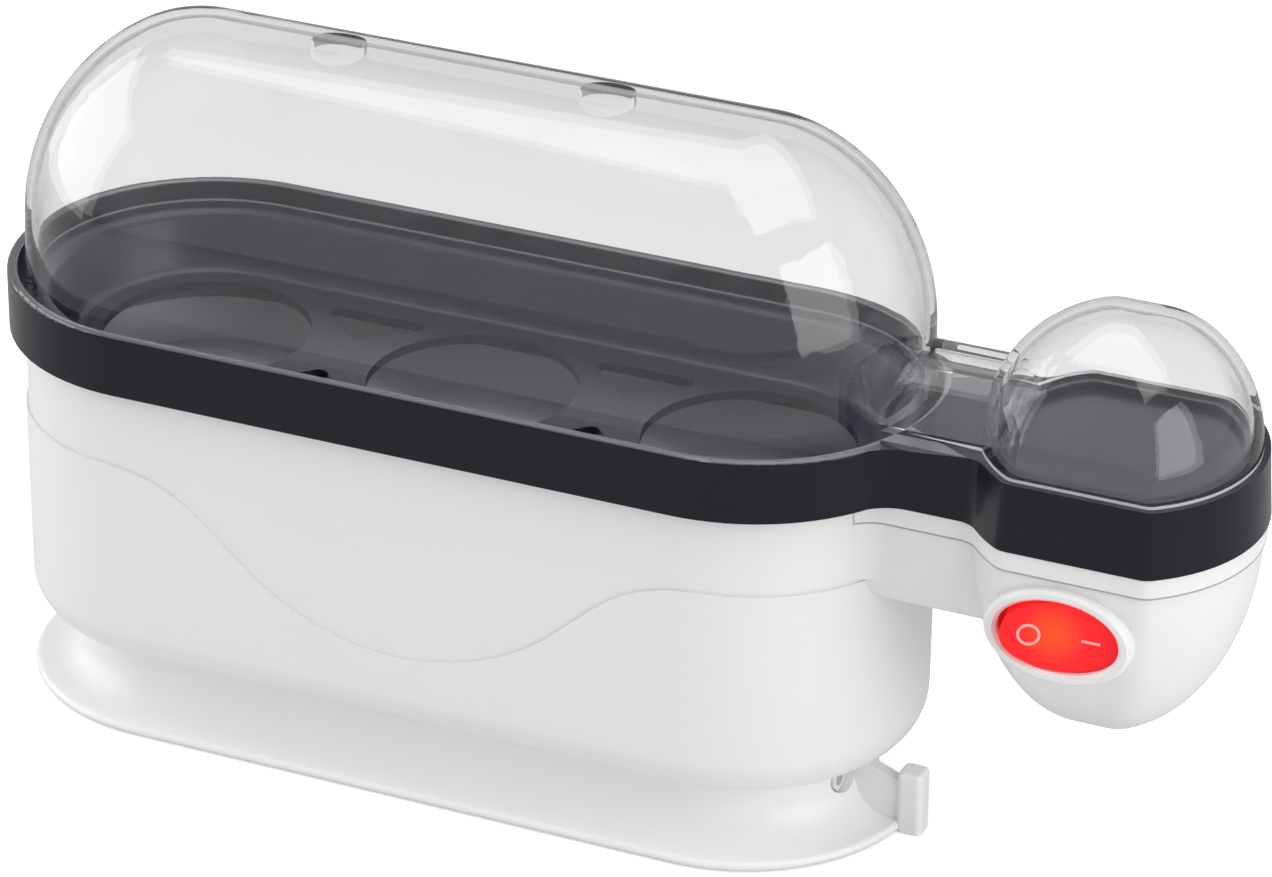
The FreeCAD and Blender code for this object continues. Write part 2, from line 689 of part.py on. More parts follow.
# Foot: a narrow waist for winding the lead, a wide flange to stand on and a hook for the lead.
foot = new_body("base_foot")
ring(foot, "foot_ring", "waist_radius", [
    ("-(waist_radius - waist_wall)", "0"),
    ("-(foot_radius - foot_edge / 2)", "0", "cx", "-(foot_radius - foot_edge / 2)", "right"),
    ("-(foot_radius - foot_edge / 2)", "foot_edge"),
    ("-(waist_radius + waist_fillet)", "foot_edge", "cx", "-(waist_radius + waist_fillet)"),
    ("-waist_radius", "foot_edge + waist_fillet"),
    ("-waist_radius", "housing_bottom"),
    ("-(waist_radius - waist_wall)", "housing_bottom"),
])
outline = new_sketch(foot, "lead_notch_outline")
draw(outline, [
    ("egg_pitch + sqrt((waist_radius + 0.3)^2 - 1.4^2)", "-1.4"),
    ("egg_pitch + foot_radius + 5", "-1.4"),
    ("egg_pitch + foot_radius + 5", "foot_radius * 1.04"),
    ("egg_pitch + foot_radius * 0.6", "foot_radius * 1.04"),
    ("egg_pitch + (waist_radius + 0.3) * cos(60)", "(waist_radius + 0.3) * sin(60)", "cx", "egg_pitch"),
])
pocket(foot, "lead_notch", outline, "housing_bottom", back=True)
outline = new_sketch(foot, "foot_floor_outline")
stadium(outline, "waist_radius - waist_wall + 0.6")
pad(foot, "foot_floor", outline, "2.2")
outline = new_sketch(foot, "foot_posts_outline")
for sign_x, sign_y in POSTS:
    disc(outline, sign_x + POST_X, sign_y + POST_Y, "screw_head + 1.6")
pad(foot, "foot_posts", outline, "housing_bottom")
outline = new_sketch(foot, "foot_bore_outline")
for sign_x, sign_y in POSTS:
    disc(outline, sign_x + POST_X, sign_y + POST_Y, "screw_radius + 0.2")
pocket(foot, "foot_bores", outline, "housing_bottom + 1", back=True)
outline = new_sketch(foot, "foot_recess_outline")
for sign_x, sign_y in POSTS:
    disc(outline, sign_x + POST_X, sign_y + POST_Y, "screw_head + 0.3")
pocket(foot, "foot_recesses", outline, "8", back=True)
outline = new_sketch(foot, "hook_web_outline", "XZ_Plane", lift="-hook_middle")
draw(outline, [
    ("egg_pitch + waist_radius - 1", "foot_edge / 2"),
    ("hook_outer - 2", "foot_edge / 2"),
    ("hook_outer - 2", "hook_tall * 0.7"),
    ("egg_pitch + waist_radius - 1", "housing_bottom - 0.5"),
])
pad(foot, "hook_web", outline, "2.6", middle=True)
outline = new_sketch(foot, "hook_head_outline")
HOOK_X = ("(hook_outer - hook_long + hook_round)", "(hook_outer - hook_round)")
HOOK_Y = ("(hook_middle - hook_wide / 2 + hook_round)", "(hook_middle + hook_wide / 2 - hook_round)")
draw(outline, [
    (HOOK_X[0], HOOK_Y[0] + " - hook_round"),
    (HOOK_X[1], HOOK_Y[0] + " - hook_round", "cx", HOOK_X[1]),
    (HOOK_X[1] + " + hook_round", HOOK_Y[0]),
    (HOOK_X[1] + " + hook_round", HOOK_Y[1], "cx", HOOK_X[1]),
    (HOOK_X[1], HOOK_Y[1] + " + hook_round"),
    (HOOK_X[0], HOOK_Y[1] + " + hook_round", "cx", HOOK_X[0]),
    (HOOK_X[0] + " - hook_round", HOOK_Y[1]),
    (HOOK_X[0] + " - hook_round", HOOK_Y[0], "cx", HOOK_X[0]),
])
pad(foot, "hook_head", outline, "hook_tall")
soften(foot, "hook_head_round", "hook_round * 0.8", lambda box_, edge: level(box_, size("hook_tall")))
BUSH_Y = "-9"
BUSH_Z = "(housing_bottom - bush_bore - 1.7)"
outline = new_sketch(foot, "bush_way_outline", "YZ_Plane", lift="egg_pitch + waist_radius + 8")
disc(outline, BUSH_Y, BUSH_Z, "bush_bore + 1.3")
pocket(foot, "bush_way", outline, "15")

bush = new_body("cord_bush")
outline = new_sketch(bush, "bush_outline", "YZ_Plane", lift="egg_pitch + waist_radius - 8")
disc(outline, BUSH_Y, BUSH_Z, "bush_bore + 1")
disc(outline, BUSH_Y, BUSH_Z, "bush_bore")
pad(bush, "bush_tube", outline, "5.6")
outline = new_sketch(bush, "bush_collar_outline", "YZ_Plane", lift="egg_pitch + waist_radius - 8")
disc(outline, BUSH_Y, BUSH_Z, "bush_bore + 1.55")
disc(outline, BUSH_Y, BUSH_Z, "bush_bore")
pad(bush, "bush_collar", outline, "1")


def screws(label, places, seat, head, shank, down):
    body = new_body(label)
    sketch = new_sketch(body, label + "_heads", lift=seat)
    for across, along in places:
        disc(sketch, across, along, "screw_head")
    pad(body, label + "_head", sketch, head, back=not down)
    sketch = new_sketch(body, label + "_shanks", lift=seat)
    for across, along in places:
        disc(sketch, across, along, "screw_radius - 0.1")
    pad(body, label + "_shank", sketch, shank, back=down)
    return body


screws("foot_screws", [(x + POST_X, y + POST_Y) for x, y in POSTS], "8", "2", "17", False)
screws("cover_screws", [("grip_centre - 14", "6"), ("grip_centre + 14", "6")],
       "seam_height + 2", "1.6", "13", True)

# Cover of the handle: closes the arm and the lobe under the handle of the tray.
cover = new_body("handle_cover")
grip_block(cover, "cover_grip", "seam_height", "rim_bottom - seam_height", "0.4")
outline = new_sketch(cover, "cover_neck_outline", lift="seam_height")
box(outline, "egg_pitch + wall_radius - 8", "grip_centre - 14", "-(neck_half - 0.3)", "neck_half - 0.3")
pad(cover, "cover_neck", outline, "rim_bottom - seam_height")
soften(cover, "cover_neck_fillet", "neck_fillet", neck_corner("neck_half - 0.3"))
sweep_corner(cover, "cover_corner", "seam_height", "rim_bottom - seam_height", "(wall_radius + 0.3)",
             "(neck_half - 0.3)", "arm_fillet")
outline = new_sketch(cover, "cover_clear_outline", lift="rim_bottom + 1")
disc(outline, "egg_pitch", "0", "wall_radius + 0.3")
pocket(cover, "cover_clear", outline, "rim_bottom - seam_height + 2")
outline = new_sketch(cover, "cover_bore_outline", lift="rim_bottom")
for side in ("-", "+"):
    disc(outline, "grip_centre %s 14" % side, "6", "screw_radius + 0.2")
pocket(cover, "cover_bores", outline, "rim_bottom - seam_height + 1")
outline = new_sketch(cover, "cover_recess_outline", lift="rim_bottom")
for side in ("-", "+"):
    disc(outline, "grip_centre %s 14" % side, "6", "screw_head + 0.3")
pocket(cover, "cover_recesses", outline, "rim_bottom - seam_height - 2")

# Heating bowl with its seal, its tubular heater and the cut-outs under it.
FLANGE_LOW = "(bowl_ledge + seal_thick)"
BOWL_UNDER = "(bowl_floor - bowl_sheet)"
TUBE_Z = "(bowl_floor - bowl_sheet - tube_radius - 0.1)"

bowl = new_body("heating_bowl")
ring(bowl, "bowl_ring", "bowl_radius", [
    ("-bowl_radius", FLANGE_LOW + " + bowl_sheet"),
    ("-(bowl_radius + 2.9)", FLANGE_LOW + " + bowl_sheet"),
    ("-(bowl_radius + 2.9)", FLANGE_LOW),
    ("-(bowl_radius + bowl_sheet)", FLANGE_LOW),
    ("-(bowl_radius + bowl_sheet)", BOWL_UNDER),
    ("-(bowl_radius - 2)", BOWL_UNDER),
    ("-(bowl_radius - 2)", "bowl_floor"),
    ("-bowl_radius", "bowl_floor"),
])
outline = new_sketch(bowl, "bowl_floor_outline", lift=BOWL_UNDER)
stadium(outline, "bowl_radius - 1")
pad(bowl, "bowl_floor_sheet", outline, "bowl_sheet")

seal = new_body("bowl_seal")
ring(seal, "seal_ring", "bowl_radius", [
    ("-(bowl_radius + bowl_sheet + 0.4)", "bowl_ledge"),
    ("-(bowl_radius + 2.9)", "bowl_ledge"),
    ("-(bowl_radius + 2.9)", FLANGE_LOW),
    ("-(bowl_radius + bowl_sheet + 0.4)", FLANGE_LOW),
])

heater = new_body("heating_element")
path = new_sketch(heater, "heater_path", lift=TUBE_Z)
draw(path, [
    ("egg_pitch - 6", "-tube_loop"),
    ("11 - egg_pitch", "-tube_loop", "cx", "11 - egg_pitch", "right"),
    ("11 - egg_pitch", "tube_loop"),
    ("egg_pitch - 6", "tube_loop"),
], closed=False)
outline = new_sketch(heater, "heater_tube", "YZ_Plane", lift="egg_pitch - 6")
disc(outline, "-tube_loop", TUBE_Z, "tube_radius")
sweep(heater, "heater", outline, path)

pins = new_body("element_terminals")
outline = new_sketch(pins, "pins_outline", "YZ_Plane", lift="egg_pitch - 6")
for side in ("-", ""):
    disc(outline, side + "tube_loop", TUBE_Z, "1.3")
pad(pins, "pins", outline, "9")

bracket = new_body("element_bracket")
outline = new_sketch(bracket, "bracket_outline", lift=TUBE_Z + " - tube_radius - 1.6")
box(outline, "-18", "-4", "-(tube_loop + 5)", "tube_loop + 5")
for side in ("-", ""):
    disc(outline, "-11", side + "7", "screw_radius + 0.2")
pad(bracket, "bracket", outline, "1.6")
screws("bracket_screws", [("-11", "-7"), ("-11", "7")], TUBE_Z + " - tube_radius - 1.6", "1.8",
       "2 * tube_radius + 1.5", False)

thermostat = new_body("thermostat")
outline = new_sketch(thermostat, "thermostat_outline", lift=TUBE_Z + " - tube_radius")
disc(outline, "26", "0", "8")
pad(thermostat, "thermostat_can", outline, "2 * tube_radius")
outline = new_sketch(thermostat, "thermostat_blades_outline", "YZ_Plane", lift="33")
for side in ("-", ""):
    disc(outline, side + "4", TUBE_Z, "0.9")
pad(thermostat, "thermostat_blades", outline, "8")

clip = new_body("thermostat_clip")
outline = new_sketch(clip, "clip_outline", lift=TUBE_Z + " - tube_radius - 0.8")
box(outline, "22.5", "29.5", "-(tube_loop + 4)", "tube_loop + 4")
pad(clip, "clip", outline, "0.8")

fuse = new_body("thermal_fuse")
outline = new_sketch(fuse, "fuse_outline", "YZ_Plane", lift="-36")
disc(outline, "0", BOWL_UNDER + " - 2.2", "2.1")
pad(fuse, "fuse_case", outline, "12")
outline = new_sketch(fuse, "fuse_tail_outline", "YZ_Plane", lift="-42")
disc(outline, "0", BOWL_UNDER + " - 2.2", "0.6")
pad(fuse, "fuse_tails", outline, "24")

block = new_body("terminal_block")
outline = new_sketch(block, "block_outline", lift=FLOOR_TOP)
box(outline, "36", "52", "-8", "8")
pad(block, "block", outline, "11")
outline = new_sketch(block, "block_holes_outline", lift=FLOOR_TOP + " + 11")
for side in ("-", ""):
    disc(outline, "41", side + "4", "1.8")
pocket(block, "block_holes", outline, "6")

RISER = "(egg_pitch + (bowl_radius + bowl_sheet + wall_radius - housing_wall) / 2)"
LOW_RUN = FLOOR_TOP + " + 6"
HIGH_RUN = "(arm_bottom + 4.6)"
leads = new_body("switch_leads")
for name, lift, far in (("lead_near", "1.5", "switch_x - 6.6"), ("lead_far", "-1.5", "switch_x + 5.4")):
    path = new_sketch(leads, name + "_path", "XZ_Plane", lift=lift)
    draw(path, [
        ("52", LOW_RUN),
        (RISER + " - 4", LOW_RUN, "cx", RISER + " - 4"),
        (RISER, LOW_RUN + " + 4"),
        (RISER, HIGH_RUN + " - 4", "cx", RISER + " + 4"),
        (RISER + " + 4", HIGH_RUN),
        (far, HIGH_RUN),
    ], closed=False)
    outline = new_sketch(leads, name + "_round", "YZ_Plane", lift="52")
    disc(outline, minus(lift), LOW_RUN, "lead_radius * 0.8")
    sweep(leads, name, outline, path)

links = new_body("element_leads")
for name, side in (("link_near", "-"), ("link_far", "")):
    path = new_sketch(links, name + "_path", "YZ_Plane", lift="egg_pitch - 4.6")
    draw(path, [
        (side + "6", FLOOR_TOP + " + 11"),
        (side + "6", "36", "cx", side + "9"),
        (side + "9", "39"),
        (side + "(tube_loop - 3)", "39", "cx", side + "(tube_loop - 3)"),
        (side + "tube_loop", "42"),
        (side + "tube_loop", TUBE_Z + " - 1.3"),
    ], closed=False)
    outline = new_sketch(links, name + "_round", lift=FLOOR_TOP + " + 11")
    disc(outline, "egg_pitch - 4.6", side + "6", "lead_radius * 0.8")
    sweep(links, name, outline, path)

# Lit rocker switch in the lobe: bezel, cup, contacts, rocker and lamp.
PIVOT = "(switch_face - 2.2)"
bezel = new_body("switch_bezel")
outline = new_sketch(bezel, "bezel_outline", "XZ_Plane", lift="switch_face")
oval(outline, "switch_x", "switch_z", "bezel_long", "bezel_short")
oval(outline, "switch_x", "switch_z", "rocker_long + rocker_gap + rocker_swing", "rocker_short + rocker_gap")
pad(bezel, "bezel", outline, "bezel_thick")


def bezel_front(box_, edge):
    return abs(box_.YMin + size("switch_face + bezel_thick")) < 0.01 and box_.YLength < 0.01


soften(bezel, "bezel_bevel", "bezel_thick * 0.35", bezel_front, "Chamfer")

cup = new_body("switch_cup")
outline = new_sketch(cup, "cup_outline", "XZ_Plane", lift="switch_face - 9.6")
oval(outline, "switch_x", "switch_z", "rocker_long + rocker_gap + rocker_swing + 1",
     "rocker_short + rocker_gap + 1")
pad(cup, "cup", outline, "9.6")
outline = new_sketch(cup, "cup_inside_outline", "XZ_Plane", lift="switch_face")
oval(outline, "switch_x", "switch_z", "rocker_long + rocker_gap + rocker_swing", "rocker_short + rocker_gap")
pocket(cup, "cup_inside", outline, "7.6")
outline = new_sketch(cup, "cup_back_outline", "XZ_Plane", lift="switch_face - 17.6")
box(outline, "switch_x - 9", "switch_x + 9", "switch_z - 5.5", "switch_z + 5.5")
pad(cup, "cup_back", outline, "8.4")
outline = new_sketch(cup, "cup_pivot_outline", lift="switch_z")
disc(outline, "switch_x", minus(PIVOT), "pin_radius + 0.3")
pocket(cup, "cup_pivot", outline, "2 * (rocker_short + rocker_gap + 0.9)", middle=True)

blades = new_body("switch_terminals")
for name, place, tail in (("blade_near", "switch_x - 6", "7"), ("blade_far", "switch_x + 6", "10")):
    outline = new_sketch(blades, name + "_outline", "XZ_Plane", lift="switch_face - 17.6 - " + tail)
    box(outline, place + " - 0.4", place + " + 0.4", "switch_z - 3.2", "switch_z + 3.2")
    pad(blades, name, outline, tail)

spring = new_body("contact_spring")
outline = new_sketch(spring, "spring_outline", "XZ_Plane", lift="switch_face - 7.6")
box(outline, "switch_x - 5", "switch_x + 5", "switch_z - 2.5", "switch_z + 2.5")
pad(spring, "spring", outline, "0.5")

FRONT = "(switch_face + bezel_thick + 0.7)"
BACK = "(switch_face - 3.8)"
rocker = new_body("switch_rocker")
outline = new_sketch(rocker, "rocker_plan", lift="switch_z")
draw(outline, [
    ("switch_x - rocker_long - 1", minus(BACK)),
    ("switch_x - rocker_long - 1", minus(FRONT), "cy", minus(FRONT) + " - 40"),
    ("switch_x + rocker_long + 1", minus(FRONT)),
    ("switch_x + rocker_long + 1", minus(BACK)),
])
pad(rocker, "rocker_bar", outline, "2 * rocker_short + 4", middle=True)
outline = new_sketch(rocker, "rocker_trim_outline", "XZ_Plane", lift="switch_face + 10")
box(outline, "switch_x - 20", "switch_x + 20", "switch_z - 20", "switch_z + 20")
oval(outline, "switch_x", "switch_z", "rocker_long", "rocker_short")
pocket(rocker, "rocker_trim", outline, "20")
outline = new_sketch(rocker, "rocker_pin_outline", lift="switch_z")
disc(outline, "switch_x", minus(PIVOT), "pin_radius")
pad(rocker, "rocker_pin", outline, "2 * (rocker_short + rocker_gap + 0.7)", middle=True)
outline = new_sketch(rocker, "rocker_hollow_outline", "XZ_Plane", lift=BACK)
oval(outline, "switch_x", "switch_z", "rocker_long - 1.7", "rocker_short - 1.7")
pocket(rocker, "rocker_hollow", outline, "2.8", back=True)

lamp = new_body("switch_lamp")
outline = new_sketch(lamp, "lamp_outline", "YZ_Plane", lift="switch_x - 5")
disc(outline, minus(PIVOT), "switch_z + 3.1", "1.1")
pad(lamp, "lamp", outline, "10")

pivot = FreeCAD.Vector(size("switch_x"), -size(PIVOT), 0)
tilt = FreeCAD.Rotation(FreeCAD.Vector(0, 0, 1), size("rocker_tilt"))
for body in (rocker, lamp):
    body.Placement = FreeCAD.Placement(FreeCAD.Vector(), tilt, pivot)
doc.recompute()

for item in doc.Objects:
    if "Invalid" in item.State or "Error" in item.State:
        raise ValueError("not built: " + item.Name)

os.makedirs("parts", exist_ok=True)
for item in doc.Objects:
    if item.TypeId == "PartDesign::Body":
        if item.Shape.isNull() or not item.Shape.isValid():
            raise ValueError("bad solid: " + item.Label)
        item.Shape.exportStep("parts/%s.step" % item.Label)
        print(item.Label, len(item.Shape.Solids), round(item.Shape.Volume))
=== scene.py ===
# %% [markdown]
# # An egg cooker on a white table
# This lesson dresses a finished CAD model of an egg cooker: a white housing, a black tray that
# holds three eggs, a clear lid and a lit rocker switch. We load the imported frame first, because
# every piece that we add has to move with one of its bodies.

# %% Load the frame
import json
import math

import bpy
from mathutils import Matrix, Vector


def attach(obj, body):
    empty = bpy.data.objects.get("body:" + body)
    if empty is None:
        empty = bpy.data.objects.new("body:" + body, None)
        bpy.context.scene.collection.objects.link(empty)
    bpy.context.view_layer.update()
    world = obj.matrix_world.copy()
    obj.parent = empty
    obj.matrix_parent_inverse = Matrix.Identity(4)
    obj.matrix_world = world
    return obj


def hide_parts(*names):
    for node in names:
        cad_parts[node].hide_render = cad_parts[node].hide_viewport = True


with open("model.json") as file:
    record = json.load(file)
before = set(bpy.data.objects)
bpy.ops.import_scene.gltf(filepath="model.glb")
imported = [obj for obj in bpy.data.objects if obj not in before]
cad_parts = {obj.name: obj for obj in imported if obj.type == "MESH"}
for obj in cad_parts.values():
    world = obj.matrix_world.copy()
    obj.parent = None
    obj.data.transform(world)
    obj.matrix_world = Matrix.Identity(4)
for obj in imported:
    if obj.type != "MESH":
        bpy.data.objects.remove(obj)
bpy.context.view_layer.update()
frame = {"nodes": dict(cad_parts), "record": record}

# %% [markdown]
# The loaded nodes are loose triangles, so light would break at each of their edges. For every
# piece that can be seen we make a copy, merge its points and let the shading run smoothly over
# edges that are nearly flat. The copy stands for the node and rides on the node's body.

# %% Smooth copies of what shows
SHOWN = {
    "housing": ("base", "white_plastic", 28),
    "base_foot": ("base", "white_plastic", 35),
    "handle_cover": ("base", "white_plastic", 28),
    "switch_bezel": ("base", "white_plastic", 40),
    "heating_bowl": ("base", "grey_plate", 35),
    "egg_tray": ("tray", "black_plastic", 28),
    "lid": ("lid", "clear_plastic", 45),
    "switch_rocker": ("rocker", "red_lens", 30),
}


def pick(obj):
    bpy.ops.object.select_all(action="DESELECT")
    obj.select_set(True)
    bpy.context.view_layer.objects.active = obj


looks = {}
for name, (body, slot, angle) in SHOWN.items():
    pick(frame["nodes"][name])
    bpy.ops.object.duplicate()
    copy = bpy.context.object
    copy.name = name + "_look"
    for key in list(copy.keys()):
        del copy[key]
    bpy.ops.object.mode_set(mode="EDIT")
    bpy.ops.mesh.select_all(action="SELECT")
    bpy.ops.mesh.remove_doubles(threshold=2e-6)
    bpy.ops.object.mode_set(mode="OBJECT")
    bpy.ops.mesh.customdata_custom_splitnormals_clear()
    bpy.ops.object.shade_smooth_by_angle(angle=math.radians(angle))
    even = copy.modifiers.new("even shading", "WEIGHTED_NORMAL")
    even.keep_sharp = True
    even.weight = 100
    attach(copy, body)
    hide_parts(name)
    looks[name] = copy
print("smooth copies:", len(looks))

# %% [markdown]
# Plastic straight from a mould has a very fine grain. One node group makes that grain: it gives
# a slightly varied colour and a bumped normal, and each plastic uses it with its own strength.

# %% A shared grain for the mouldings
grain = bpy.data.node_groups.new("moulded_grain", "ShaderNodeTree")
grain.interface.new_socket("Colour", in_out="INPUT", socket_type="NodeSocketColor")
grain.interface.new_socket("Depth", in_out="INPUT", socket_type="NodeSocketFloat")
grain.interface.new_socket("Colour", in_out="OUTPUT", socket_type="NodeSocketColor")
grain.interface.new_socket("Normal", in_out="OUTPUT", socket_type="NodeSocketVector")
inside = grain.nodes.new("NodeGroupInput")
outside = grain.nodes.new("NodeGroupOutput")
where = grain.nodes.new("ShaderNodeTexCoord")
fine = grain.nodes.new("ShaderNodeTexNoise")
fine.inputs["Scale"].default_value = 2600.0
fine.inputs["Detail"].default_value = 2.0
broad = grain.nodes.new("ShaderNodeTexNoise")
broad.inputs["Scale"].default_value = 22.0
tint = grain.nodes.new("ShaderNodeHueSaturation")
spread = grain.nodes.new("ShaderNodeMapRange")
spread.inputs["To Min"].default_value = 0.985
spread.inputs["To Max"].default_value = 1.015
bump = grain.nodes.new("ShaderNodeBump")
bump.inputs["Distance"].default_value = 0.00004
grain.links.new(where.outputs["Object"], fine.inputs["Vector"])
grain.links.new(where.outputs["Object"], broad.inputs["Vector"])
grain.links.new(broad.outputs["Fac"], spread.inputs["Value"])
grain.links.new(spread.outputs["Result"], tint.inputs["Value"])
grain.links.new(inside.outputs["Colour"], tint.inputs["Color"])
grain.links.new(inside.outputs["Depth"], bump.inputs["Strength"])
grain.links.new(fine.outputs["Fac"], bump.inputs["Height"])
grain.links.new(tint.outputs["Color"], outside.inputs["Colour"])
grain.links.new(bump.outputs["Normal"], outside.inputs["Normal"])
print("grain nodes:", len(grain.nodes))

# %% [markdown]
# Every moulding is made by one function. Only its colour, its gloss and the depth of its grain
# differ.

# %% Mouldings
def new_material(name):
    material = bpy.data.materials.new(name)
    material.use_nodes = True
    return material, material.node_tree, material.node_tree.nodes["Principled BSDF"]


def moulded(name, colour, roughness, depth):
    material, tree, shader = new_material(name)
    group = tree.nodes.new("ShaderNodeGroup")
    group.node_tree = grain
    group.inputs["Colour"].default_value = (*colour, 1.0)
    group.inputs["Depth"].default_value = depth
    tree.links.new(group.outputs["Colour"], shader.inputs["Base Color"])
    tree.links.new(group.outputs["Normal"], shader.inputs["Normal"])
    shader.inputs["Roughness"].default_value = roughness
    return material


white = moulded("white moulding", (0.78, 0.78, 0.777), 0.34, 0.12)
# Painted light: the foot's white is a little brighter to stand in for the extra light that falls
# on it from above.
foot_white_painted_light = moulded("white moulding of the foot, painted brighter", (0.84, 0.84, 0.837), 0.34, 0.12)
black = moulded("charcoal moulding", (0.0064, 0.0067, 0.0128), 0.27, 0.05)
# Painted highlight: the lip's lighter, glossier moulding stands in for the light caught by the
# tray's round lip.
lip = moulded("lip with painted highlight", (0.06, 0.061, 0.066), 0.2, 0.05)
for finish, gloss in ((black, 0.32), (lip, 1.0)):
    finish.node_tree.nodes["Principled BSDF"].inputs["Specular IOR Level"].default_value = gloss
dark = moulded("dark moulding", (0.02, 0.02, 0.02), 0.5, 0.2)
pale = moulded("pale silicone", (0.55, 0.55, 0.53), 0.6, 0.2)
coated = moulded("grey coating", (0.23, 0.232, 0.25), 0.42, 0.3)
shaded = moulded("white moulding in shade", (0.36, 0.36, 0.36), 0.6, 0.1)
print("mouldings ready")

# %% [markdown]
# Metal parts sit hidden under the bowl. They still get real finishes, because the tray can be
# lifted and the parts can be looked at one by one.

# %% Plain metals
def metal(name, colour, roughness):
    material, tree, shader = new_material(name)
    coordinates = tree.nodes.new("ShaderNodeTexCoord")
    noise = tree.nodes.new("ShaderNodeTexNoise")
    noise.inputs["Scale"].default_value = 900.0
    noise.inputs["Detail"].default_value = 3.0
    spread = tree.nodes.new("ShaderNodeMapRange")
    spread.inputs["To Min"].default_value = roughness * 0.8
    spread.inputs["To Max"].default_value = roughness * 1.2
    tree.links.new(coordinates.outputs["Object"], noise.inputs["Vector"])
    tree.links.new(noise.outputs["Fac"], spread.inputs["Value"])
    tree.links.new(spread.outputs["Result"], shader.inputs["Roughness"])
    shader.inputs["Base Color"].default_value = (*colour, 1.0)
    shader.inputs["Metallic"].default_value = 1.0
    return material


steel = metal("plain steel", (0.60, 0.60, 0.61), 0.3)
brass = metal("plain brass", (0.74, 0.56, 0.26), 0.28)
print("metals ready")

# %% [markdown]
# The lid is clear plastic with thin walls, which hardly shift what lies behind them. So light goes
# nearly straight through, a coat gives the reflections, and the tint gets deeper where a wall is
# seen on edge, though less so towards the crown. For shadow rays the lid is a plain filter, so it
# throws no dark shadow.

# %% Clear plastic
FILTER = (0.93, 0.935, 0.94, 1.0)
CROWN_FROM, CROWN_TO = 0.122, 0.133
clear, tree, shader = new_material("clear moulding")
facing = tree.nodes.new("ShaderNodeLayerWeight")
facing.inputs["Blend"].default_value = 0.5
tint = tree.nodes.new("ShaderNodeValToRGB")
tint.color_ramp.elements[0].position = 0.45
tint.color_ramp.elements[0].color = (0.968, 0.972, 0.977, 1.0)
tint.color_ramp.elements[1].position = 1.0
tint.color_ramp.elements[1].color = (0.20, 0.21, 0.23, 1.0)
between = tint.color_ramp.elements.new(0.86)
between.color = (0.82, 0.83, 0.85, 1.0)
place = tree.nodes.new("ShaderNodeTexCoord")
split = tree.nodes.new("ShaderNodeSeparateXYZ")
height = tree.nodes.new("ShaderNodeMapRange")
height.inputs["From Min"].default_value = CROWN_FROM
height.inputs["From Max"].default_value = CROWN_TO
height.inputs["To Max"].default_value = 0.85
crown = tree.nodes.new("ShaderNodeMix")
crown.data_type = "RGBA"
crown.inputs[7].default_value = FILTER
tree.links.new(facing.outputs["Facing"], tint.inputs["Fac"])
tree.links.new(place.outputs["Object"], split.inputs["Vector"])
tree.links.new(split.outputs["Z"], height.inputs["Value"])
tree.links.new(height.outputs["Result"], crown.inputs[0])
tree.links.new(tint.outputs["Color"], crown.inputs[6])
tree.links.new(crown.outputs[2], shader.inputs["Base Color"])
shader.inputs["Roughness"].default_value = 0.0
shader.inputs["IOR"].default_value = 1.03
shader.inputs["Transmission Weight"].default_value = 1.0
shader.inputs["Coat Weight"].default_value = 0.8
shader.inputs["Coat Roughness"].default_value = 0.04
shader.inputs["Coat IOR"].default_value = 1.5
path = tree.nodes.new("ShaderNodeLightPath")
through = tree.nodes.new("ShaderNodeBsdfTransparent")
through.inputs["Color"].default_value = FILTER
choose = tree.nodes.new("ShaderNodeMixShader")
output = tree.nodes["Material Output"]
tree.links.new(path.outputs["Is Shadow Ray"], choose.inputs["Fac"])
tree.links.new(shader.outputs["BSDF"], choose.inputs[1])
tree.links.new(through.outputs["BSDF"], choose.inputs[2])
tree.links.new(choose.outputs["Shader"], output.inputs["Surface"])
print("clear plastic ready")

# %% [markdown]
# The lid's edges and the walls of its vents get painted highlights and painted shade. These
# painted colours cover what lies behind them only in part.

# %% Painted highlights and shade for the lid's edges
def painted_edge_highlight(name, cover):
    material, _, shader = new_material(name)
    shader.inputs["Base Color"].default_value = (0.85, 0.86, 0.87, 1.0)
    shader.inputs["Roughness"].default_value = 0.3
    shader.inputs["Alpha"].default_value = cover
    return material


# Painted shade: the far halves of the vent walls are dark grey.
vent_wall_shade = moulded("painted shade on the vent walls", (0.12, 0.122, 0.127), 0.25, 0.05)
vent_wall_shade.node_tree.nodes["Principled BSDF"].inputs["Alpha"].default_value = 0.6
# Painted highlights along the lid's lower edge: dim on the main part, bright round the grip. The
# dim one also lights the near halves of the vent walls.
dim_edge_highlight = painted_edge_highlight("dim painted edge highlight", 0.2)
bright_edge_highlight = painted_edge_highlight("bright painted edge highlight", 0.7)
print("edge finishes ready")

# %% [markdown]
# The rocker glows. Its lamp sits behind the middle, so the colour runs from orange in the
# middle to red at the ends, measured as a distance from the lamp.

# %% Lit red lens
LAMP = (0.1245, -0.0235, 0.0598)
lens, tree, shader = new_material("lit red lens")
coordinates = tree.nodes.new("ShaderNodeTexCoord")
offset = tree.nodes.new("ShaderNodeVectorMath")
offset.operation = "SUBTRACT"
offset.inputs[1].default_value = LAMP
length = tree.nodes.new("ShaderNodeVectorMath")
length.operation = "LENGTH"
ramp = tree.nodes.new("ShaderNodeValToRGB")
ramp.color_ramp.elements[0].position = 0.0
ramp.color_ramp.elements[0].color = (1.0, 0.12, 0.012, 1.0)
ramp.color_ramp.elements[1].position = 1.0
ramp.color_ramp.elements[1].color = (0.62, 0.006, 0.012, 1.0)
middle = ramp.color_ramp.elements.new(0.45)
middle.color = (0.96, 0.016, 0.02, 1.0)
scaled = tree.nodes.new("ShaderNodeMapRange")
scaled.inputs["From Min"].default_value = 0.0015
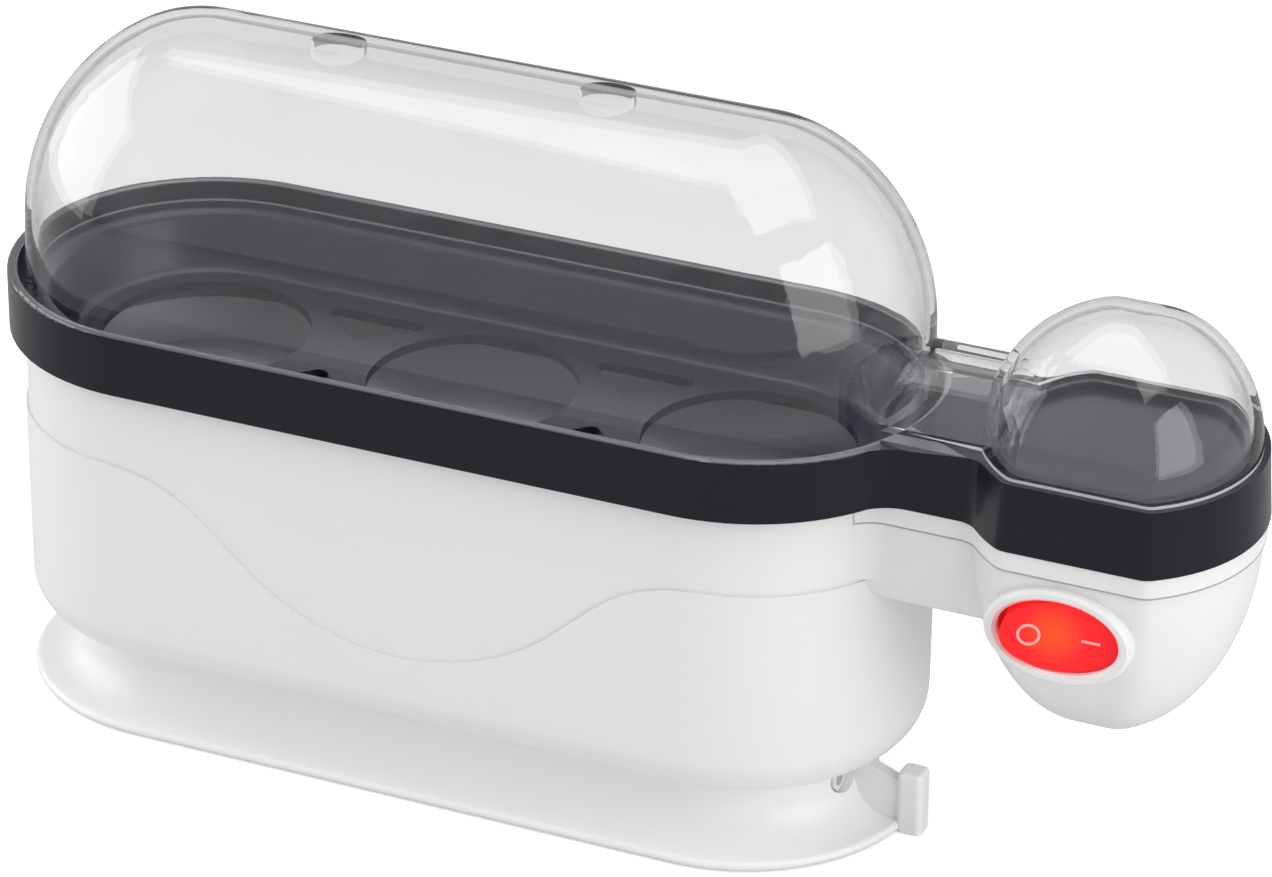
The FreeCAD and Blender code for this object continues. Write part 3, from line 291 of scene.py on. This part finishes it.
scaled.inputs["From Max"].default_value = 0.0125
tree.links.new(coordinates.outputs["Object"], offset.inputs[0])
tree.links.new(offset.outputs["Vector"], length.inputs[0])
tree.links.new(length.outputs["Value"], scaled.inputs["Value"])
tree.links.new(scaled.outputs["Result"], ramp.inputs["Fac"])
tree.links.new(ramp.outputs["Color"], shader.inputs["Emission Color"])
shader.inputs["Base Color"].default_value = (0.45, 0.01, 0.012, 1.0)
shader.inputs["Roughness"].default_value = 0.3
shader.inputs["Specular IOR Level"].default_value = 0.2
shader.inputs["Emission Strength"].default_value = 0.72
print("lens ready")

# %% [markdown]
# The lamp's glass, the cup around the rocker and the signs on it shine too, each with one colour.

# %% What else shines in the switch
def shining(name, colour, light, strength):
    material, _, shader = new_material(name)
    shader.inputs["Base Color"].default_value = (*colour, 1.0)
    shader.inputs["Emission Color"].default_value = (*light, 1.0)
    shader.inputs["Emission Strength"].default_value = strength
    return material


glow = shining("lamp glass", (1.0, 0.5, 0.2), (1.0, 0.35, 0.08), 2.0)
lit_cup = shining("cup in the lamp's light", (0.05, 0.006, 0.006), (1.0, 0.02, 0.02), 0.35)
mark_red = shining("mark on the rocker", (0.9, 0.25, 0.25), (1.0, 0.22, 0.22), 0.8)
print("lights in the switch ready")

# %% [markdown]
# Now each piece gets its finish from the slot that the record gives it. The foot's white is
# painted a little brighter, as painted light for the extra light that falls on it, and the cup is
# lit by the lamp.

# %% Hand out the finishes
FINISH = {
    "white_plastic": white, "black_plastic": black, "clear_plastic": clear, "grey_plate": coated,
    "silicone": pale, "steel": steel, "brass": brass, "dark_plastic": dark, "lead_sleeve": pale,
    "white_rubber": white, "red_lens": lens, "lamp_glass": glow,
}
slots = {entry["node"]: entry["material_slot"] for entry in frame["record"]["subparts"]}
for name, node in frame["nodes"].items():
    node.data.materials.clear()
    node.data.materials.append(FINISH[slots[name]])
for name, look in looks.items():
    look.data.materials.clear()
    look.data.materials.append(FINISH[slots[name]])
looks["base_foot"].data.materials[0] = foot_white_painted_light
cup = frame["nodes"]["switch_cup"]
cup.data.materials.clear()
cup.data.materials.append(lit_cup)
print("finishes given to", len(frame["nodes"]), "nodes")

# %% [markdown]
# Some edges get painted light or shade. Light that runs inside the lid's wall leaves it at the
# lower edge, which shines as a thin line; here that line is a painted highlight. The joint between
# the handle cover and the housing lies in shade, which is painted as a grey band. The tray's round
# lip gets a painted highlight. We cut such a band into a look and give its faces a material of
# their own. The look stays whole, and where a side of the handle's neck is given, only the faces
# on that side are cut.

# %% Bands of painted light and shade along the edges
NECK = 0.0965
EGG_ROW = 0.056
GRIP_CENTRE = 0.127
COVER_JOINT = 0.07035
LIP_FOOT = 0.0859
LID_EDGE = 0.0828
GRIP_EDGE = 0.0876
FACING_DOWN = -0.5


def points_out(face, far):
    x, y = face.center.x, face.center.y
    along = x - min(max(x, -EGG_ROW), GRIP_CENTRE if far else EGG_ROW)
    return face.normal.x * along + face.normal.y * y > 0


def band(name, height, above, far, finish):
    piece = looks[name]
    pick(piece)
    piece.data.materials.append(finish)
    index = len(piece.data.materials) - 1
    bpy.ops.object.mode_set(mode="EDIT")
    bpy.ops.mesh.select_all(action="DESELECT")
    bpy.ops.object.mode_set(mode="OBJECT")
    for face in piece.data.polygons:
        face.select = far is None or (face.center.x > NECK) == far
    bpy.ops.object.mode_set(mode="EDIT")
    bpy.ops.mesh.bisect(plane_co=(0, 0, height), plane_no=(0, 0, 1))
    bpy.ops.object.mode_set(mode="OBJECT")
    count = 0
    for face in piece.data.polygons:
        within = (face.center.z > height) == above
        if far is not None:
            within = within and (face.center.x > NECK) == far
        if name == "lid":
            within = within and (face.normal.z < FACING_DOWN or points_out(face, far))
        if within:
            face.material_index = index
            count += 1
    print(name, "band of", count, "faces in", finish.name)


# Painted shade at the cover's joint, a painted highlight on the tray's lip and on the lid's lower
# edge.
band("handle_cover", COVER_JOINT, False, None, shaded)
band("egg_tray", LIP_FOOT, True, False, lip)
band("lid", LID_EDGE, False, False, dim_edge_highlight)
band("lid", GRIP_EDGE, False, True, bright_edge_highlight)

# %% [markdown]
# Two round vents go through the lid's crown. As the photograph shows them, the far half of each
# wall is grey and the near half is bright, so the far half gets painted shade and the near half a
# painted highlight. A vent's wall faces are those that stand upright at the vent's radius.

# %% Painted shade and highlight on the walls of the vents
VENT_OFFSET = 0.027
VENT_RADIUS = 0.0052
VENT_SLACK = 0.0002
UPRIGHT = 0.3
lid = looks["lid"].data
lid.materials.append(vent_wall_shade)
shaded_wall = lid.materials.find(vent_wall_shade.name)
highlit_wall = lid.materials.find(dim_edge_highlight.name)
rings = 0
for face in lid.polygons:
    reach = math.hypot(abs(face.center.x) - VENT_OFFSET, face.center.y)
    if abs(reach - VENT_RADIUS) < VENT_SLACK and abs(face.normal.z) < UPRIGHT:
        # Far halves get painted shade, near halves a painted highlight.
        face.material_index = shaded_wall if face.center.y > 0 else highlit_wall
        rings += 1
print("vent walls:", rings, "faces")

# %% [markdown]
# The rocker carries a ring and a bar as signs for off and on. We model each one upright in
# front of the switch, then turn it with the rocker's rest tilt about the rocker's pin.

# %% Signs on the rocker
PIN = Vector((0.1255, -0.0224, 0.0594))
TILT = math.radians(9.0)
FACE_CENTRE = -0.0671
FACE_RADIUS = 0.04169
SIGN_OFFSET = 0.0056
SIGN_PROUD = 0.0001
SIGN_TURN = math.asin(SIGN_OFFSET / FACE_RADIUS)
QUARTER = math.radians(90)
sign_depth = FACE_CENTRE + math.sqrt(FACE_RADIUS ** 2 - SIGN_OFFSET ** 2) - SIGN_PROUD

bpy.ops.object.select_all(action="DESELECT")
bpy.ops.mesh.primitive_torus_add(
    major_radius=0.0019, minor_radius=0.00026, major_segments=48, minor_segments=10,
    location=(PIN.x - SIGN_OFFSET, sign_depth, PIN.z), rotation=(QUARTER, 0, SIGN_TURN))
ring = bpy.context.object
ring.name = "off_ring"
bpy.ops.mesh.primitive_cylinder_add(
    radius=0.00024, depth=0.0034, vertices=16,
    location=(PIN.x + SIGN_OFFSET, sign_depth, PIN.z), rotation=(0, QUARTER, -SIGN_TURN))
bar = bpy.context.object
bar.name = "on_bar"
for sign in (ring, bar):
    pick(sign)
    bpy.ops.transform.rotate(value=-TILT, orient_axis="Z", center_override=PIN)
    bpy.ops.object.transform_apply(location=True, rotation=True, scale=True)
    bpy.ops.object.shade_smooth()
    sign.data.materials.append(mark_red)
    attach(sign, "rocker")
print("signs:", [round(v, 4) for v in ring.bound_box[0]], [round(v, 4) for v in bar.bound_box[0]])

# %% [markdown]
# The table is one big pale sheet. It is lit so brightly that it burns out to white, and only
# the soft shadow under the foot is left.

# %% Table
bpy.ops.object.select_all(action="DESELECT")
bpy.ops.mesh.primitive_plane_add(size=6.0, location=(0, 0, -0.0002))
floor = bpy.context.object
floor.name = "table"
bpy.ops.object.transform_apply(location=True, rotation=True, scale=True)
paper, tree, shader = new_material("white paper")
shader.inputs["Roughness"].default_value = 0.9
shader.inputs["Specular IOR Level"].default_value = 0.0
shader.inputs["Emission Color"].default_value = (1, 1, 1, 1)
rays = tree.nodes.new("ShaderNodeLightPath")
shade = tree.nodes.new("ShaderNodeMix")
shade.data_type = "RGBA"
shade.inputs[6].default_value = (0.76, 0.76, 0.76, 1.0)
shade.inputs[7].default_value = (0.45, 0.45, 0.45, 1.0)
behind = tree.nodes.new("ShaderNodeMath")
behind.operation = "MULTIPLY"
behind.inputs[1].default_value = 0.32
shine = tree.nodes.new("ShaderNodeMath")
shine.operation = "MULTIPLY_ADD"
shine.inputs[1].default_value = 0.45
tree.links.new(rays.outputs["Is Glossy Ray"], shade.inputs[0])
tree.links.new(shade.outputs[2], shader.inputs["Base Color"])
tree.links.new(rays.outputs["Is Transmission Ray"], behind.inputs[0])
tree.links.new(rays.outputs["Is Camera Ray"], shine.inputs[0])
tree.links.new(behind.outputs["Value"], shine.inputs[2])
tree.links.new(shine.outputs["Value"], shader.inputs["Emission Strength"])
floor.data.materials.append(paper)
print("table set")

# %% [markdown]
# Three soft lights stand above, to the left and to the right. The room gives a little light from
# everywhere, and what the camera sees of it, also through the lid, is plain white.

# %% Lights and room
def lamp(name, place, aim, size, power):
    bpy.ops.object.light_add(type="AREA", location=place)
    light = bpy.context.object
    light.name = name
    light.data.shape = "RECTANGLE"
    light.data.size = size[0]
    light.data.size_y = size[1]
    light.data.energy = power
    direction = Vector(aim) - Vector(place)
    light.rotation_euler = direction.to_track_quat("-Z", "Y").to_euler()


lamp("top softbox", (0.1, 0.1, 1.1), (0.03, 0, 0.08), (1.2, 0.9), 7.0)
lamp("left softbox", (-1.2, -0.2, 0.5), (0.03, 0, 0.07), (1.3, 1.2), 11.0)
lamp("right softbox", (1.2, -0.4, 0.5), (0.05, 0, 0.07), (1.0, 1.1), 8.5)

world = bpy.data.worlds.new("white room")
bpy.context.scene.world = world
world.use_nodes = True
tree = world.node_tree
room = tree.nodes["Background"]
room.inputs["Color"].default_value = (1, 1, 1, 1)
room.inputs["Strength"].default_value = 0.52
plain = tree.nodes.new("ShaderNodeBackground")
plain.inputs["Color"].default_value = (1, 1, 1, 1)
plain.inputs["Strength"].default_value = 1.03
rays = tree.nodes.new("ShaderNodeLightPath")
mix = tree.nodes.new("ShaderNodeMixShader")
seen = tree.nodes.new("ShaderNodeMath")
seen.operation = "MAXIMUM"
tree.links.new(rays.outputs["Is Camera Ray"], seen.inputs[0])
tree.links.new(rays.outputs["Is Transmission Ray"], seen.inputs[1])
tree.links.new(seen.outputs["Value"], mix.inputs["Fac"])
tree.links.new(room.outputs["Background"], mix.inputs[1])
tree.links.new(plain.outputs["Background"], mix.inputs[2])
tree.links.new(mix.outputs["Shader"], tree.nodes["World Output"].inputs["Surface"])
bpy.context.scene.view_settings.view_transform = "Standard"
print("lights set")

# %% [markdown]
# The camera was worked out from the edges in the photograph: how far it turns round the cooker,
# how far it looks down, how much it leans and how long its lens is.

# %% Camera
AROUND = math.radians(23.270)
DOWN = math.radians(27.287)
LEAN = math.radians(0.627)
AIM = Vector((0.030, 0.0, 0.070))
DISTANCE = 0.98819
right = Vector((math.cos(AROUND), math.sin(AROUND), 0))
level = Vector((-math.sin(AROUND), math.cos(AROUND), 0))
up = level * math.sin(DOWN) + Vector((0, 0, math.cos(DOWN)))
ahead = level * math.cos(DOWN) - Vector((0, 0, math.sin(DOWN)))
tilted_right = right * math.cos(LEAN) + up * math.sin(LEAN)
tilted_up = up * math.cos(LEAN) - right * math.sin(LEAN)
stand = AIM - ahead * DISTANCE
bpy.ops.object.camera_add(location=stand)
camera = bpy.context.object
camera.matrix_world = Matrix.Translation(stand) @ Matrix((
    (tilted_right.x, tilted_up.x, -ahead.x),
    (tilted_right.y, tilted_up.y, -ahead.y),
    (tilted_right.z, tilted_up.z, -ahead.z),
)).to_4x4()
camera.data.sensor_width = 36.0
camera.data.lens = 150.63
camera.data.shift_x = 0.01309
camera.data.shift_y = -0.01435
camera.data.clip_start = 0.05
bpy.context.scene.camera = camera
print("camera at", [round(v, 3) for v in camera.location])
